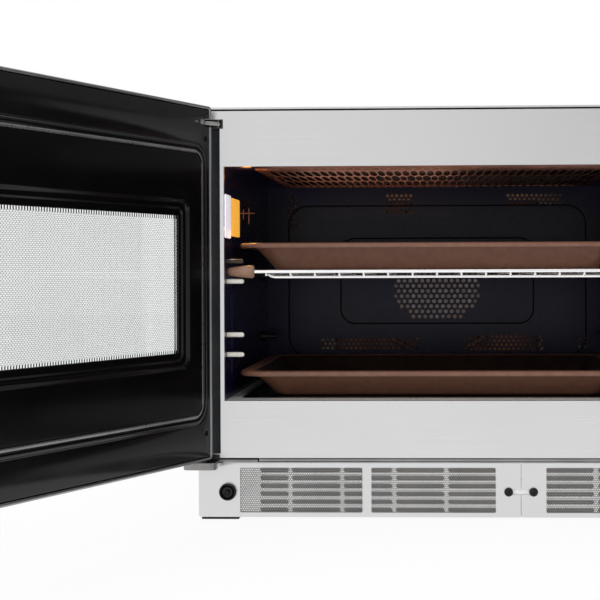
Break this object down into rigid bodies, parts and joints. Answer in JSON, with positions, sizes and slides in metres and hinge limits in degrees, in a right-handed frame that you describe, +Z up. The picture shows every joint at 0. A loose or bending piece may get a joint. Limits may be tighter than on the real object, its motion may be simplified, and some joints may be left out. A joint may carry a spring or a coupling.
{
  "type": "combination microwave oven",
  "caption": "Counter-top combination microwave and convection oven with a side-hinged door, wire rack, two baking pans and sliding air filter covers.",
  "frame": {"origin": "on the worktop under the middle of the casing", "axes": "+Z up, the oven's front faces -Y, +X to the right seen from the front"},
  "size_m": [0.822, 0.915, 0.383],
  "materials": {
    "galvanised_steel": "galvanised sheet",
    "brushed_steel": "fine brushed, satin",
    "plinth_steel": "dull brushed",
    "polished_steel": "polished",
    "chromed_wire": "bright nickel and chrome",
    "black_plastic": "moulded, fine texture",
    "black_rubber": "matte",
    "black_paint": "gloss black",
    "enamel": "dark grey-blue enamel, satin",
    "floor_ceramic": "glazed ceramic",
    "peg_ceramic": "glazed ceramic",
    "lamp_mica": "mica sheet",
    "lamp_steel": "perforated sheet, lit from behind",
    "lamp_glass": "clear",
    "element_steel": "oxidised sheath",
    "aluminium": "stamped",
    "motor_steel": "zinc plated",
    "circuit_board": "solder mask",
    "fascia_plastic": "gloss black",
    "display_glass": "black glass front",
    "button_steel": "spun",
    "door_glass": "clear float glass",
    "screen_steel": "perforated, black",
    "silicone": "translucent brown silicone",
    "bakeware": "brown non-stick coating, satin"
  },
  "bodies": {
    "casing": {"base_tray": "galvanised_steel", "base_front": "plinth_steel", "feet": "black_rubber", "outer_wrapper": "brushed_steel", "rear_panel": "galvanised_steel", "casing_screws": "galvanised_steel", "cord_gland": "black_plastic", "face_frame": "brushed_steel", "hinge_post": "black_paint", "top_hinge_block": "black_plastic", "top_hinge_arm": "polished_steel", "bottom_hinge_plate": "polished_steel", "cavity_side_walls": "enamel", "cavity_ceiling": "enamel", "cavity_floor": "enamel", "cavity_back": "enamel", "floor_plate": "floor_ceramic", "ceiling_grille": "enamel", "grill_element": "element_steel", "grill_reflector": "galvanised_steel", "lamp_screen": "lamp_steel", "lamp_plate": "lamp_mica", "lamp_bulb": "lamp_glass", "lamp_housing": "galvanised_steel", "rack_pegs": "peg_ceramic", "fan_motor": "motor_steel", "ring_element": "element_steel", "fan_housing": "galvanised_steel", "magnetron": "aluminium", "waveguide": "galvanised_steel", "antenna_motor": "motor_steel", "inverter": "circuit_board", "cooling_shroud": "black_plastic", "control_fascia": "fascia_plastic", "touch_display": "display_glass", "control_board": "circuit_board", "interlock_switches": "black_plastic", "seam_screws": "black_paint"},
    "door": {"door_skin": "brushed_steel", "door_glass": "door_glass", "door_screen": "screen_steel", "door_liner": "black_paint", "door_frame": "galvanised_steel", "door_hinge_blocks": "galvanised_steel", "door_screws": "black_paint", "door_handle": "polished_steel"},
    "latch": {"latch_hooks": "polished_steel"},
    "filter_cover_left": {"filter_left": "brushed_steel"},
    "filter_cover_right": {"filter_right": "brushed_steel"},
    "thumb_knob_left": {"knob_left": "black_plastic"},
    "thumb_knob_right": {"knob_right": "black_plastic"},
    "rack": {"wire_rack": "chromed_wire", "rack_bumpers": "silicone"},
    "pan_on_rack": {"upper_pan": "bakeware"},
    "pan_on_floor": {"lower_pan": "bakeware"},
    "convection_fan": {"fan_wheel": "aluminium"},
    "stirrer": {"antenna": "aluminium"},
    "cooling_wheel": {"cooling_fan": "black_plastic"},
    "start": {"start_button": "button_steel"}
  },
  "joints": [
    {"name": "door_hinge", "type": "hinge", "parent": "casing", "child": "door", "pos_m": [-0.2945, -0.2535, 0.22], "axis": [0, 0, -1], "range_deg": [-113.5, 0]},
    {"name": "latch_lift", "type": "slide", "parent": "door", "child": "latch", "axis": [0, 0, 1], "range_m": [0, 0.005], "stiffness_N_per_m": 300, "springref_m": -0.003},
    {"name": "rack_slide", "type": "slide", "parent": "casing", "child": "rack", "axis": [0, -1, 0], "range_m": [0, 0.25]},
    {"name": "upper_pan_slide", "type": "slide", "parent": "rack", "child": "pan_on_rack", "axis": [0, -1, 0], "range_m": [0, 0.16]},
    {"name": "lower_pan_slide", "type": "slide", "parent": "casing", "child": "pan_on_floor", "axis": [0, -1, 0], "range_m": [0, 0.25]},
    {"name": "filter_left_slide", "type": "slide", "parent": "casing", "child": "filter_cover_left", "axis": [-1, 0, 0], "range_m": [0, 0.016]},
    {"name": "filter_right_slide", "type": "slide", "parent": "casing", "child": "filter_cover_right", "axis": [1, 0, 0], "range_m": [0, 0.016]},
    {"name": "knob_left_turn", "type": "hinge", "parent": "filter_cover_left", "child": "thumb_knob_left", "pos_m": [-0.272, -0.245, 0.0257], "axis": [0, -1, 0], "continuous": true},
    {"name": "knob_right_turn", "type": "hinge", "parent": "filter_cover_right", "child": "thumb_knob_right", "pos_m": [0.272, -0.245, 0.0257], "axis": [0, -1, 0], "continuous": true},
    {"name": "convection_fan_spin", "type": "hinge", "parent": "casing", "child": "convection_fan", "pos_m": [-0.077, 0.15, 0.219], "axis": [0, 1, 0], "continuous": true},
    {"name": "antenna_spin", "type": "hinge", "parent": "casing", "child": "stirrer", "pos_m": [-0.077, -0.074, 0.06], "axis": [0, 0, 1], "continuous": true},
    {"name": "cooling_fan_spin", "type": "hinge", "parent": "casing", "child": "cooling_wheel", "pos_m": [0.21, 0.22, 0.17], "axis": [0, 1, 0], "continuous": true},
    {"name": "start_button_press", "type": "slide", "parent": "casing", "child": "start", "axis": [0, 1, 0], "range_m": [0, 0.0015], "stiffness_N_per_m": 600}
  ]
}
